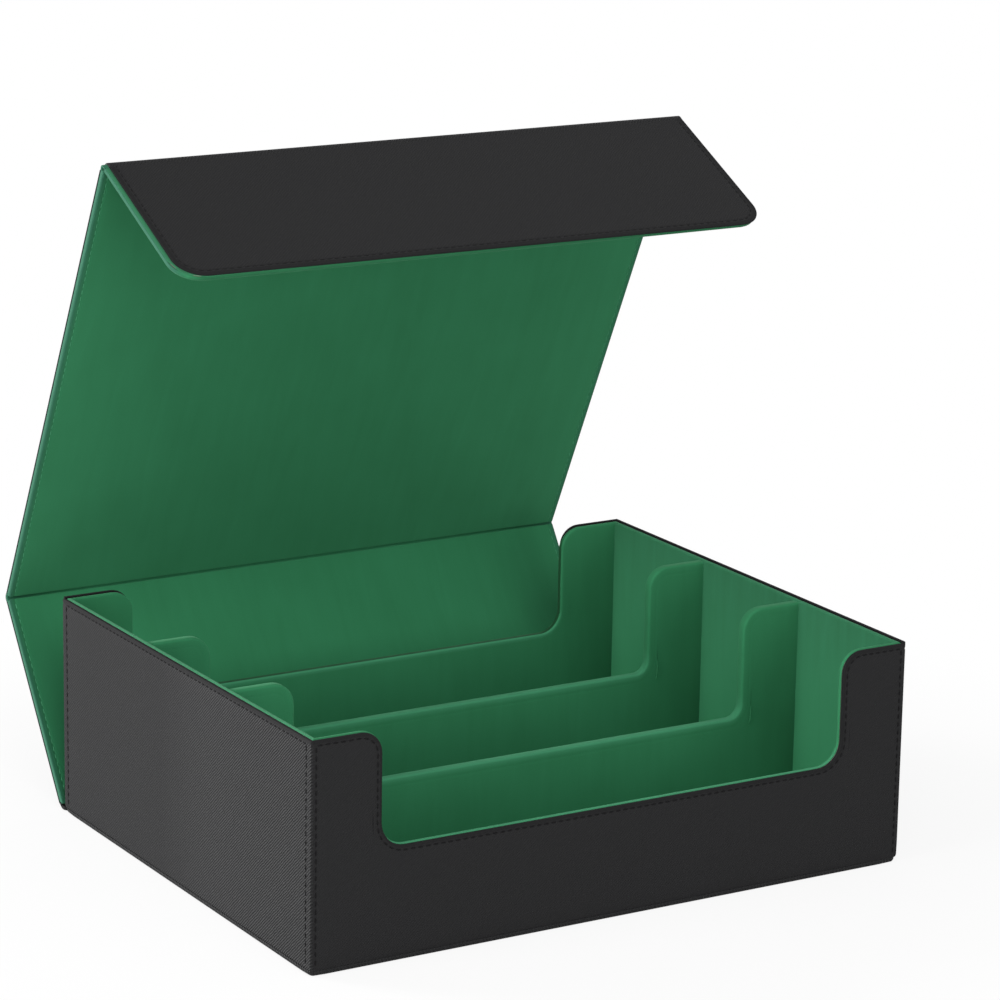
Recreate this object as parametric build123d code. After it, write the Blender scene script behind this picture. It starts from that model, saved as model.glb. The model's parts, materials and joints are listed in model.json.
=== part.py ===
from build123d import *
import os

# Trading card storage box: a tray of three rows in a wrap-round cover that stands open.
# Millimetres, +Z up, +X to the right along the front, +Y to the rear.
# The origin is the middle of the underside of the base.

# The tray, measured over its covering, from the table to the top of its walls
box_width = 320.0
box_depth = 255.0
box_height = 110.0
base_corner = 4.0

# Sheets: synthetic leather outside, microfibre inside, grey board between them
leather = 0.8
lining = 0.8
wall_board = 2.4
floor_board = 2.4
cover_board = 2.0
partition_board = 2.6
partition_lining = 1.2
partition_edge = 1.6

# The scoop in the front wall, the rear wall and both partitions, between two posts
post_width = 36.2
scoop_floor = 54.8
post_radius = 11.0
scoop_radius = 12.0
partition_scoop_radius = 7.0
partition_drop = 0.8

# The cover's panels, and the room that is left round the tray when it is shut
flap_length = 87.5
flap_corner = 14.0
panel_corner = 1.8
rear_gap = 1.2
front_gap = 3.0
top_gap = 0.8
crease_clearance = 0.35

# How the cover stands, in degrees: the back panel leans from upright, the rest fold from in line
right_angle = 90.0
back_lean = 34.2
lid_fold = 60.1
flap_fold = 91.0

# Disc magnets hidden in the front wall and in the flap
magnet_diameter = 12.0
magnet_height = 1.5
magnet_edge = 20.0

# Tabbed dividers, kept upright at the left end of the rows
divider_thickness = 0.8
divider_play = 1.5
divider_headroom = 4.0
divider_gap = 0.25
divider_corner = 3.5
divider_nook = 1.2
left_notch_width = 10.5
left_notch_height = 10.5
right_notch_width = 8.5
right_notch_height = 8.0
foot_notch_width = 9.0
foot_notch_height = 7.0
divider_rows = {
    "front": ["light_green", "red", "blue", "white"],
    "middle": ["black", "dark_green", "pink"],
    "rear": ["purple", "orange", "yellow"],
}

# One overrun for every cut that has to pass a face
overrun = 1.0

# What follows from these sizes
half_width = box_width / 2
half_depth = box_depth / 2
wall = leather + wall_board + lining
core = leather + wall_board
rim = leather
partition = partition_board + 2 * partition_lining
panel = leather + cover_board + lining
base_top = leather + cover_board
floor_top = base_top + floor_board
row_floor = floor_top + lining
row_names = list(divider_rows)
partition_names = ["front", "rear"]
inner_depth = box_depth - 2 * wall - len(partition_names) * partition
row_depth = inner_depth / len(row_names)
partition_head = box_height - partition_drop
crease_room = panel / 2 + crease_clearance
hinge_y = half_depth + rear_gap + panel / 2
hinge_z = panel / 2
back_length = box_height + top_gap
lid_length = box_depth + rear_gap + front_gap + panel
magnet_x = half_width - post_width / 2
magnet_reach = flap_length - magnet_edge
magnet_z = hinge_z + back_length - magnet_reach

parts = {}


def block(x, y, z):
    """A block between two X, two Y and two Z."""
    low, high = zip(x, y, z)
    size = [b - a for a, b in zip(low, high)]
    middle = [(a + b) / 2 for a, b in zip(low, high)]
    return Pos(*middle) * Box(*size)


def both(reach):
    """The range that reaches as far on either side of the middle."""
    return -reach, reach


def band(side, face, near, far):
    """The range from near to far inside the outer face, on the side -1 or 1."""
    return tuple(sorted((side * (face - near), side * (face - far))))


def upright(outline, y):
    """An outline drawn in X and Z, as thick as the range y."""
    near, far = y
    return Pos(0, far, 0) * extrude(Plane.XZ * outline, far - near)


def scooped(half, foot, head, inset, scoop=scoop_radius):
    """Outline of an end wall or partition: two posts with a rounded scoop between them.
    The inset draws back the upper edge alone."""
    reach = half_width - post_width + inset
    dip = scoop_floor - inset
    top = head - inset
    outer, inner = post_radius - inset, scoop + inset
    points = [(-half, foot), (half, foot), (half, top), (reach, top)]
    points += [(reach, dip), (-reach, dip), (-reach, top), (-half, top)]
    radii = [0, 0, 0, outer, inner, inner, outer, 0]
    return make_face(FilletPolyline(points, radius=radii, close=True))


def rim_strip(half, head, thick):
    """The strip along the upper edge of a scooped outline, where a skin is turned over it."""
    body = scooped(half + overrun, base_top - overrun, head, thick)
    return scooped(half, base_top, head, 0) - body


def discs(place, low, high):
    """A pair of magnet discs on the place's own Z, from low to high, one near each end."""
    disc = Cylinder(magnet_diameter / 2, high - low, align=(Align.CENTER, Align.CENTER, Align.MIN))
    return [place * Pos(x, 0, low) * disc for x in both(magnet_x)]


# Base: a board in a leather wrap that is turned up round its edges
base_outline = RectangleRounded(box_width, box_depth, base_corner)
base_inset = RectangleRounded(
    box_width - 2 * leather, box_depth - 2 * leather, base_corner - leather
)
parts["base_board"] = Pos(0, 0, leather) * extrude(base_inset, cover_board)
parts["base_leather"] = extrude(base_outline, base_top) - parts["base_board"]

# Tray floor, between the four wall boards
parts["floor_board"] = block(
    both(half_width - core), both(half_depth - core), (base_top, floor_top)
)

# Left and right walls: leather and lining are turned over the board and meet half-way
for name, side in (("left", -1), ("right", 1)):
    head = (box_height - rim, box_height)
    parts[f"{name}_wall_board"] = block(
        band(side, half_width, leather, core), both(half_depth - leather), (base_top, head[0])
    )
    parts[f"{name}_leather"] = block(
        band(side, half_width, 0, leather), both(half_depth - leather), (base_top, box_height)
    ) + block(band(side, half_width, leather, wall / 2), both(half_depth - wall / 2), head)
    parts[f"{name}_lining"] = block(
        band(side, half_width, core, wall), both(half_depth - core), (floor_top, box_height)
    ) + block(band(side, half_width, wall / 2, core), both(half_depth - wall / 2), head)

# Front and rear walls, with the scoop
for name, side in (("front", -1), ("rear", 1)):
    parts[f"{name}_wall_board"] = upright(
        scooped(half_width - core, base_top, box_height, rim), band(side, half_depth, leather, core)
    )
    parts[f"{name}_leather"] = upright(
        scooped(half_width, base_top, box_height, 0), band(side, half_depth, 0, leather)
    ) + upright(
        rim_strip(half_width - leather, box_height, rim), band(side, half_depth, leather, wall / 2)
    )
    parts[f"{name}_lining"] = upright(
        scooped(half_width - wall, floor_top, box_height, 0), band(side, half_depth, core, wall)
    ) + upright(
        rim_strip(half_width - core, box_height, rim), band(side, half_depth, wall / 2, core)
    )

# Magnets sunk into the outer face of the front wall's board
wall_discs = discs(
    Pos(0, -half_depth, magnet_z) * Rot(-right_angle, 0, 0), leather, leather + magnet_height
)
parts["wall_magnets"] = Compound(wall_discs)
parts["front_wall_board"] -= wall_discs

# Partitions: a padded lining is drawn over each board like a sleeve
for index, name in enumerate(partition_names):
    front = -half_depth + wall + (index + 1) * row_depth + index * partition
    y = (front, front + partition)
    board_y = (y[0] + partition_lining, y[1] - partition_lining)
    half = half_width - wall
    sleeve = upright(scooped(half, floor_top, partition_head, 0, partition_scoop_radius), y)
    upper = sleeve.edges().filter_by(
        lambda edge: abs(edge.center().Y - sum(y) / 2) > partition_board / 2
        and edge.center().Z > floor_top
        and abs(edge.center().X) < half - partition_lining
    )
    drawn_in = (partition_head, partition_lining, partition_scoop_radius)
    pocket = scooped(half + overrun, floor_top - overrun, *drawn_in)
    parts[f"{name}_partition_lining"] = fillet(upper, partition_edge) - upright(pocket, board_y)
    parts[f"{name}_partition_board"] = upright(scooped(half, floor_top, *drawn_in), board_y)

# Rows: a lining on the floor of each, and dividers standing at the left end
for index, row in enumerate(row_names):
    front = -half_depth + wall + index * (row_depth + partition)
    parts[f"{row}_floor_lining"] = block(
        both(half_width - wall), (front, front + row_depth), (floor_top, row_floor)
    )
    near, far = front + divider_play, front + row_depth - divider_play
    low, high = row_floor, box_height - divider_headroom
    points = [(near + foot_notch_width, low), (far, low), (far, high - right_notch_height)]
    points += [(far - right_notch_width, high - right_notch_height)]
    points += [(far - right_notch_width, high), (near + left_notch_width, high)]
    points += [(near + left_notch_width, high - left_notch_height)]
    points += [(near, high - left_notch_height), (near, low + foot_notch_height)]
    points += [(near + foot_notch_width, low + foot_notch_height)]
    tab, nook = divider_corner, divider_nook
    radii = [tab, 0, tab, nook, tab, tab, nook, tab, tab, nook]
    outline = make_face(FilletPolyline(points, radius=radii, close=True))
    card = extrude(Plane.YZ * outline, divider_thickness)
    for place, colour in enumerate(divider_rows[row]):
        x = -half_width + wall + divider_gap + place * (divider_thickness + divider_gap)
        parts[f"divider_{colour}"] = Pos(x, 0, 0) * card


def layer(start, end, free_corner, inset, low, high):
    """One layer of a cover panel lying flat: a rounded outline drawn in by the inset."""
    half = half_width - inset
    near, far = start + inset, end - inset
    points = [(-half, near), (half, near), (half, far), (-half, far)]
    radii = [panel_corner - inset] * 2 + [free_corner - inset] * 2
    return Pos(0, 0, low) * extrude(
        make_face(FilletPolyline(points, radius=radii, close=True)), high - low
    )


def cover_panel(name, place, end, free_corner):
    """A cover panel from its crease to its end: leather below, board, and lining over the edges."""
    skin = -panel / 2 + leather
    board = layer(crease_room, end, free_corner, lining, skin, skin + cover_board)
    cloth = layer(crease_room, end, free_corner, 0, skin, panel / 2) - board
    hide = layer(crease_room, end, free_corner, 0, -panel / 2, skin)
    parts[f"{name}_board"] = place * board
    parts[f"{name}_lining"] = place * cloth
    parts[f"{name}_leather"] = place * hide


def crease(name, place, room):
    """A crease along X: a tongue of leather and lining as long as its room, with a round edge."""
    bead = Rot(0, right_angle, 0) * Cylinder(panel / 2 - crease_clearance, box_width)
    tongue = block(both(half_width), (-room, 0), both((leather + lining) / 2))
    parts[f"{name}_crease"] = place * (bead + tongue)


# The cover: each panel hangs on the crease of the one before it
back_place = Pos(0, hinge_y, hinge_z) * Rot(right_angle - back_lean, 0, 0)
lid_place = back_place * Pos(0, back_length, 0) * Rot(lid_fold, 0, 0)
flap_place = lid_place * Pos(0, lid_length, 0) * Rot(flap_fold, 0, 0)

crease("base", Pos(0, hinge_y, hinge_z), hinge_y - half_depth)
cover_panel("back", back_place, back_length - crease_room, panel_corner)
crease("lid", back_place * Pos(0, back_length, 0), crease_room)
cover_panel("lid", lid_place, lid_length - crease_room, panel_corner)
crease("flap", lid_place * Pos(0, lid_length, 0), crease_room)
cover_panel("flap", flap_place, flap_length, flap_corner)

# Magnets sunk into the inner face of the flap's board
board_top = -panel / 2 + leather + cover_board
flap_discs = discs(flap_place * Pos(0, magnet_reach, 0), board_top - magnet_height, board_top)
parts["flap_magnets"] = Compound(flap_discs)
parts["flap_board"] -= flap_discs

os.makedirs("parts", exist_ok=True)
for name, shape in parts.items():
    export_step(shape, f"parts/{name}.step")
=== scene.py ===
import json
import math
from collections import namedtuple

import bpy
import numpy as np
from mathutils import Matrix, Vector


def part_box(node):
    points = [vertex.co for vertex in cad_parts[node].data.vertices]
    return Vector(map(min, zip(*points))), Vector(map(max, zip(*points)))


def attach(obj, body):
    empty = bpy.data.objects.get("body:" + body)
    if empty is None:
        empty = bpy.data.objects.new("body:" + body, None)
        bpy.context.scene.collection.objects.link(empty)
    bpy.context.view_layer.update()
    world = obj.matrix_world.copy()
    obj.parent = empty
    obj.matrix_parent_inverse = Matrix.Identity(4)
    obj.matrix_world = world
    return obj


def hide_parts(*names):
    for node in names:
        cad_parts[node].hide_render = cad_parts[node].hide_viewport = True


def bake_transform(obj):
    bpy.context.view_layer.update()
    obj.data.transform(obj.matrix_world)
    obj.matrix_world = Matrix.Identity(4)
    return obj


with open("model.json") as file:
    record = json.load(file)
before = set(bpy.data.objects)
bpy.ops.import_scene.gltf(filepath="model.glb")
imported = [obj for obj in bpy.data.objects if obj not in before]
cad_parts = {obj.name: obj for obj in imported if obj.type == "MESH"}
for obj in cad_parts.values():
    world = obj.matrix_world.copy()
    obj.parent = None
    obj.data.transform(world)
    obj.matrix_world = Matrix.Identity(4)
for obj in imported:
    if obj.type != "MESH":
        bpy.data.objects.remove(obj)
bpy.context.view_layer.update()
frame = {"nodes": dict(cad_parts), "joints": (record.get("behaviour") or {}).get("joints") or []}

# Base of the wrap, which carries the tray.
# A board covered in black synthetic leather with a fine pressed twill. The leather is
# rolled up round the board's edges and rounded corners, and the walls are glued on top of it.
mm = 0.001
half_width, half_depth, base_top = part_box("base_leather")[1]
skin = 0.8 * mm
base_round = 4.0 * mm
base_turn_in = 1.8 * mm
base_fold = 0.5 * mm
base_roll = 2.2 * mm
base_flat = 9 * mm
twill_pitch = 1.15 * mm
twill_angle = math.radians(41.2)
twill_depth = 0.34 * mm
sharp_angle = math.radians(40)

# A rolled edge is a quarter circle: its angles, how far it has gone in and how far it is below its
# top, the last two as shares of its radius.
turn = np.linspace(0, math.pi / 2, 6)
roll_in = 1 - np.cos(turn)
roll_drop = 1 - np.sin(turn)


def linear(*screen):
    """The shader's linear colour for a colour given in the screen's eight-bit values."""
    share = np.array(screen) / 255
    curve = np.where(share <= 0.04045, share / 12.92, ((share + 0.055) / 1.055) ** 2.4)
    return (*curve.tolist(), 1.0)


class Wire:
    """One output in a material's nodes. Arithmetic with wires adds Math nodes, node() any other."""

    def __init__(self, tree, socket=None):
        self.tree, self.socket = tree, socket

    def node(self, kind, settings=None, inputs=None, output=0):
        """Adds a node, sets it up, fills or links its inputs, and gives the wire from an output."""
        made = self.tree.nodes.new("ShaderNode" + kind)
        for key, value in (settings or {}).items():
            setattr(made, key, value)
        for key, value in (inputs or {}).items():
            if isinstance(value, Wire):
                self.tree.links.new(value.socket, made.inputs[key])
            else:
                made.inputs[key].default_value = value
        return Wire(self.tree, made.outputs[output])

    def maths(self, operation, first, second=0.0):
        """Adds a Math node on one or two wires or numbers."""
        return self.node("Math", {"operation": operation}, {0: first, 1: second})

    def __add__(self, other):
        return self.maths("ADD", self, other)

    def __sub__(self, other):
        return self.maths("SUBTRACT", self, other)

    def __rsub__(self, other):
        return self.maths("SUBTRACT", other, self)

    def __mul__(self, other):
        return self.maths("MULTIPLY", self, other)

    __radd__ = __add__
    __rmul__ = __mul__


def new_finish(name, fixed, spots="Object"):
    """A material, its shader with the values that are the same all over, a wire into its nodes, and
    the wire of the coordinates that its patterns lie on."""
    material = bpy.data.materials.new(name)
    material.use_nodes = True
    shader = material.node_tree.nodes["Principled BSDF"]
    for key, value in fixed.items():
        shader.inputs[key].default_value = value
    wire = Wire(material.node_tree)
    return material, shader, wire, wire.node("TexCoord", output=spots)


def feed(shader, wires):
    """Links each named input of a shader to what changes over the surface."""
    for key, wire in wires.items():
        wire.tree.links.new(wire.socket, shader.inputs[key])


def two_tone(wire, low, high, share):
    """The colour that lies between two tones by a share from 0 to 1."""
    return wire.node("Mix", {"data_type": "RGBA"}, {"Factor": share, 6: low, 7: high}, output=2)


def drawn_out(wire, spot, scale, angle=0.0):
    """Coordinates scaled on each axis and then turned, so that a pattern on them is drawn out."""
    return wire.node("Mapping", inputs={"Vector": spot, "Rotation": (0, 0, angle), "Scale": scale})


def noise(wire, spot, scale, detail=2.0, distortion=0.0):
    """A cloudy value from 0 to 1 over the surface."""
    inputs = {"Vector": spot, "Scale": scale, "Detail": detail, "Distortion": distortion}
    return wire.node("TexNoise", inputs=inputs)


def relief(wire, height, strength, distance):
    """The surface's normal as a height, times a distance, bends it."""
    return wire.node("Bump", inputs={"Strength": strength, "Distance": distance, "Height": height})


def leather_finish():
    """Ridges are a sine of the distance across the twill. Soft noise makes them waver, and a noise
    drawn out along them breaks them up, as a press plate does on thin leather. The ridges are lower
    where the attribute read from the mesh is above 0. Where it is near 1, along the bands that are
    turned over an edge and sewn down, the leather is also painted darker, as painted shade, and duller."""
    material, shader, wire, uv = new_finish("black_leather", {"Specular IOR Level": 0.16}, "UV")
    twill = drawn_out(wire, uv, (1 / twill_pitch, 1 / twill_pitch, 1), -twill_angle)
    across = wire.node("SeparateXYZ", inputs={"Vector": twill}, output="Y")
    waver = noise(wire, twill, 0.3, detail=1.0)
    ridge = wire.maths("SINE", (across + waver * 0.7) * math.tau) * 0.5 + 0.5
    broken = noise(wire, drawn_out(wire, twill, (0.3, 1.2, 1)), 1.0)
    pores = noise(wire, twill, 3.0, detail=3.0)
    wear_and_painted_light = wire.node("Attribute", {"attribute_name": "wear_and_painted_light"}, output="Fac")
    height = ridge * (broken * 0.8 + 0.45) * (1.3 - wear_and_painted_light * 1.15) + pores * 0.25 + wear_and_painted_light * 0.15
    # Painted shade: along the sewn bands the tone is mixed towards a darker black
    band_shade = wire.maths("POWER", wear_and_painted_light, 6.0)
    tone = two_tone(wire, linear(26, 26, 27), linear(29, 29, 30), height)
    feed(shader, {
        "Base Color": two_tone(wire, tone, linear(15, 15, 16), band_shade * 0.4),
        "Roughness": 0.74 - height * 0.14 + band_shade * 0.16,
        "Normal": relief(wire, height, 1.0, twill_depth),
    })
    return material


def grid_quads(index):
    """The quads of a grid of point numbers, each taken round its cell."""
    corners = [index[:-1, :-1], index[1:, :-1], index[1:, 1:], index[:-1, 1:]]
    return np.dstack(corners).reshape(-1, 4)


def add_object(name, data):
    """A new object in the scene, at the origin."""
    item = bpy.data.objects.new(name, data)
    bpy.context.scene.collection.objects.link(item)
    return item


def add_piece(name, shape, finish, stands_for=(), body=None):
    """A smooth mesh from points, faces and a flat map in metres, with its sharp edges left sharp.
    A third column of the map is the skin's wear and its painted light and shade."""
    points, faces, flat = shape
    mesh = bpy.data.meshes.new(name)
    mesh.from_pydata(np.reshape(points, (-1, 3)).tolist(), [], [list(face) for face in faces])
    corner = np.empty(len(mesh.loops), int)
    mesh.loops.foreach_get("vertex_index", corner)
    mesh.uv_layers.new(name="flat").data.foreach_set("uv", flat[corner, :2].ravel())
    if flat.shape[1] == 3:
        mesh.attributes.new("wear_and_painted_light", "FLOAT", "POINT").data.foreach_set("value", flat[:, 2].copy())
    mesh.shade_smooth()
    mesh.set_sharp_from_angle(angle=sharp_angle)
    mesh.materials.append(finish)
    piece = add_object(name, mesh)
    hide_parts(*stands_for)
    if body:
        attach(piece, body)
    return piece


def closed_sheet(face, uv, outward, thick=skin):
    """A skin of a real thickness. Its outer face is a grid of points, its inner face is that grid
    moved in along the normals, which are the cross products of the grid's differences both ways,
    and a strip of quads round the border joins the two."""
    normal = np.cross(np.gradient(face, axis=0), np.gradient(face, axis=1))
    if (normal * outward).sum() < 0:
        face, uv, normal = face[::-1], uv[::-1], -normal[::-1]
    normal /= np.linalg.norm(normal, axis=2, keepdims=True)
    points = np.concatenate([face.reshape(-1, 3), (face - thick * normal).reshape(-1, 3)])
    index = np.arange(face[..., 0].size).reshape(face.shape[:2])
    border = np.concatenate([index[:, 0], index[-1, 1:], index[-2::-1, -1], index[0, -2:0:-1]])
    after = np.roll(border, -1)
    behind = index.size
    edge = np.column_stack([after, border, border + behind, after + behind])
    front = grid_quads(index)
    faces = np.concatenate([front, front[:, ::-1] + behind, edge])
    return points, faces, np.concatenate([uv.reshape(-1, uv.shape[-1])] * 2)


def panel_skin(half, near, far, rounds, inset, height, between):
    """A skin over a flat panel with rounded corners and turned edges, as (across, along, up).

    Each way, the grid's lines are the edge's profile, even lines between, and the profile again.
    A line's reach is its distance from the skin's end, measured on the skin. In a corner the square
    of reaches is drawn in to a quarter disc: its longer side gives the distance from the middle of
    the arc, and the ratio of its sides the direction. The profile gives the height at each reach.
    """
    reach = np.append(0, np.cumsum(np.hypot(np.diff(inset), np.diff(height))))
    out = int(np.argmin(inset))
    flat_on = 1000 * mm

    def lines(low, high):
        """The places of the grid's lines between two ends, and their reaches."""
        middle = np.linspace(low + inset[-1], high - inset[-1], between)[1:-1]
        place = np.concatenate([low + inset, middle, (high - inset)[::-1]])
        inner = reach[-1] + np.minimum(middle - low, high - middle) - inset[-1]
        return place, np.concatenate([reach, inner, reach[::-1]])

    x, reach_x = lines(-half, half)
    y, reach_y = lines(near, far)
    x, y = np.meshgrid(x, y, indexing="ij")
    reach_x, reach_y = np.meshgrid(reach_x, reach_y, indexing="ij")
    side = np.sign(x)
    end = np.sign(y - (near + far) / 2)
    round_off = np.where(end < 0, *rounds)
    inset_on = np.append(inset, inset[-1] + flat_on)
    reach_on = np.append(reach, reach[-1] + flat_on)
    square = np.interp(round_off, inset_on[out:], reach_on[out:])
    corner_x, corner_y = np.maximum(square - reach_x, 0), np.maximum(square - reach_y, 0)
    corner = (corner_x > 0) & (corner_y > 0)
    slant = np.where(corner, np.hypot(corner_x, corner_y), 1)
    in_square = square - np.maximum(corner_x, corner_y)
    from_end = np.where(corner, in_square, np.minimum(reach_x, reach_y))
    radius = round_off - np.interp(from_end, reach_on, inset_on)
    edge_y = np.where(end < 0, near, far)
    x = np.where(corner, side * (half - round_off + radius * corner_x / slant), x)
    y = np.where(corner, edge_y - end * (round_off - radius * corner_y / slant), y)
    return np.dstack([x, y, np.interp(from_end, reach, height)])


black_leather = leather_finish()
inset = [[base_turn_in], base_fold * roll_drop, base_roll * roll_in, [base_flat]]
rise = [[base_top], base_top - base_fold * roll_in, base_roll * roll_drop, [0]]
inset, rise = np.concatenate(inset), np.concatenate(rise)
rounds = (base_round, base_round)
face = panel_skin(half_width, -half_depth, half_depth, rounds, inset, rise, between=9)
base = add_piece(
    "base_wrap", closed_sheet(face, face[..., :2], (0, 0, -1)),
    black_leather, ["base_leather"], "tray",
)


# Boards and magnets, which no view shows but which give the box its shape.
# Grey board is die-cut and glued edge to edge under the skins. Nickel-plated discs
# are let into the front wall and the flap and hold the cover shut.
def board_finish():
    """Grey board: fibres are a noise drawn out along the sheet, over a mottled pulp."""
    material, shader, wire, spot = new_finish("grey_board", {"Roughness": 0.9})
    fibre = noise(wire, drawn_out(wire, spot, (400, 2200, 2200)), 1.0, detail=3.0)
    pulp = noise(wire, spot, 90.0)
    tone = two_tone(wire, linear(112, 108, 100), linear(158, 153, 143), fibre * 0.5 + pulp * 0.5)
    feed(shader, {"Base Color": tone, "Normal": relief(wire, fibre, 0.3, 0.05 * mm)})
    return material


def nickel_finish():
    """Nickel plate: a fine noise roughens it a little."""
    fixed = {"Metallic": 1.0, "Base Color": linear(205, 202, 196)}
    material, shader, wire, spot = new_finish("nickel", fixed)
    haze = noise(wire, spot, 900.0, detail=3.0)
    feed(shader, {"Roughness": haze * 0.2 + 0.22})
    return material


hidden_finishes = {"board": board_finish(), "magnets": nickel_finish()}
for name, node in frame["nodes"].items():
    hidden = hidden_finishes.get(name.split("_")[-1])
    if hidden:
        node.data.materials.clear()
        node.data.materials.append(hidden)

# Outer leather of the left and right walls.
# One piece for each wall, rolled round both corners and over the wall's top to half-way,
# and sewn down along the top and beside the corners.
wall_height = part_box("left_leather")[1].z
wall = half_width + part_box("left_lining")[1].x
rim_lift = {"left": -0.3 * mm, "right": 0.7 * mm}
leather_top = 1.7 * mm
leather_roll = 0.6 * mm
corner_round = 0.9 * mm
least_round = 0.05 * mm
foot_round = 1.6 * mm
foot_reach = 4.5 * mm
foot_tuck = 0.3 * mm
foot_edge = 0.2 * mm
tuck_in = np.array([0.4, 0.2, 0.05, 0]) * mm
tuck_rise = np.array([0.05, 0.35, 0.8, 1.5]) * mm
seam_run = np.array([0.6, 0.25, 0]) * mm
seam_dip = np.array([0, 0.14, 0.45]) * mm
above_foot = 8 * mm
below_head = 9 * mm
sew_in = 2.7 * mm
side_sew = 4.7 * mm
sew_press = 0.25 * mm
sew_width = 0.45 * mm
sew_stop = 1.2 * mm
wear_ramp = 0.8 * mm
shallow_rear = 0.9
shallow_from = -100 * mm
shallow_run = 110 * mm

# Distances to both sides of a sewing line, close enough together to show its press
press_gaps = np.array([-1.2, -0.6, -0.3, 0, 0.3, 0.6, 1.2]) * mm


def past(distance, line):
    """1 on the edge's side of a sewing line, 0 on the other, with a short ramp between."""
    return np.clip((line - distance) / wear_ramp, 0, 1)


def corner_at(height):
    """The round of the tray's upright corners: small, and growing by a square law at the foot."""
    low = np.clip(1 - (height - base_top) / foot_reach, 0, 1)
    return corner_round + (foot_round - corner_round) * low * low


def pressed(distance):
    """How far the sewing draws a skin in, at a distance from its line: a bell curve."""
    return sew_press * np.exp(-((distance / sew_width) ** 2))


def over_top(roll_round, end, foot, head):
    """The profile of a wall's skin, as (offset into the wall, height): the foot is tucked in, the
    face is pressed along its sewing line, a quarter circle turns it, and its end dips into the seam."""
    plain = np.linspace(foot + above_foot, wall_height - below_head, 9)
    face = np.append(plain, wall_height - (sew_in + press_gaps)[::-1])
    face = face[face < head - roll_round]
    offset = [tuck_in, pressed(wall_height - face - sew_in), roll_round * roll_in, end - seam_run]
    height = [foot + tuck_rise, face, head - roll_round * roll_drop, head - seam_dip]
    return np.concatenate(offset), np.concatenate(height)


def side_skin(side, head):
    """A side wall's outer skin: the box's outline, drawn in by the profile's offset, at the profile's
    height. The outline is an arc at each corner, whose radius the offset uses up, and a straight run.
    The twill is pressed shallower towards the rear."""
    offset, height = over_top(leather_roll, leather_top, base_top, head)
    columns = (half_depth - (side_sew + press_gaps)[::-1]) / (half_depth - corner_round)
    between = np.linspace(columns[0], -columns[0], 13)[1:-1][::-1]
    straight = np.concatenate([-columns[::-1], between, columns])
    ends, run = np.ones(len(turn)), np.ones(len(straight))
    along = np.concatenate([-ends, straight, ends])[:, None]
    out_x = np.concatenate([np.sin(turn), run, np.sin(turn[::-1])])[:, None]
    out_y = np.concatenate([-np.cos(turn), 0 * run, np.cos(turn[::-1])])[:, None]
    middle = np.maximum(corner_at(height), offset + least_round)
    radius = middle - offset
    x = half_width - middle + radius * out_x
    y = along * (half_depth - middle) + radius * out_y
    sewn = (height < wall_height - sew_in) & (height > base_top + sew_stop)
    foot = (height < base_top + foot_edge) * (out_x == 1)
    x = x - pressed(half_depth - np.abs(y) - side_sew) * sewn - foot_tuck * foot
    face = np.dstack([side * x, y, np.broadcast_to(height, x.shape)])
    shallow = shallow_rear * np.clip((y - shallow_from) / shallow_run, 0, 1)
    # Painted shade along the band above the top sewing line; towards the rear the twill is shallower
    # and the tone a little darker
    wear_and_painted_light = np.maximum(shallow, past(wall_height - height, sew_in))
    return face, np.dstack([side * y, face[..., 2], wear_and_painted_light])


def cover_wall(name, part, slot, finish, shape, outward):
    """Adds a wall's skin as a sheet on its board, in place of the wall's node of that slot."""
    piece = add_piece(
        f"{name}_{part}_{slot}", closed_sheet(*shape, outward),
        finish, [f"{name}_{slot}"], "tray",
    )


for name, side in (("left", -1), ("right", 1)):
    shape = side_skin(side, wall_height + rim_lift[name])
    cover_wall(name, "side", "leather", black_leather, shape, (side, 0, 0))

# Outer leather of the front and rear walls.
# Cut with a wide scoop between two posts, turned over the edge of the scoop and the tops
# of the posts, and sewn down all along that edge and beside the corners.
post_width = 36.2 * mm
post_round = 11.0 * mm
post_plain = 9 * mm
scoop_floor = 54.8 * mm
scoop_round = 12.0 * mm
scoop_half = half_width - post_width
end_sew = 2.65 * mm
scoop_lift = {"front": -0.4 * mm, "rear": -0.7 * mm}
post_lift = {"front": -0.2 * mm, "rear": 0.7 * mm}
rim_band = 5.2 * mm
ironed = 0.8
end_rows = np.array([0.12, 0.25, 0.4, 0.55, 0.7, 0.85, 0.96, 1])
end_foot_rise = 1.5 * mm
end_foot_tuck = 0.4 * mm
foot_spread = 1 * mm
foot_share = 0.45
foot_slope = 0.2
arc = np.linspace(0, math.pi / 2, 10)
Rim = namedtuple("Rim", "x z in_x in_z share foot")


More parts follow.
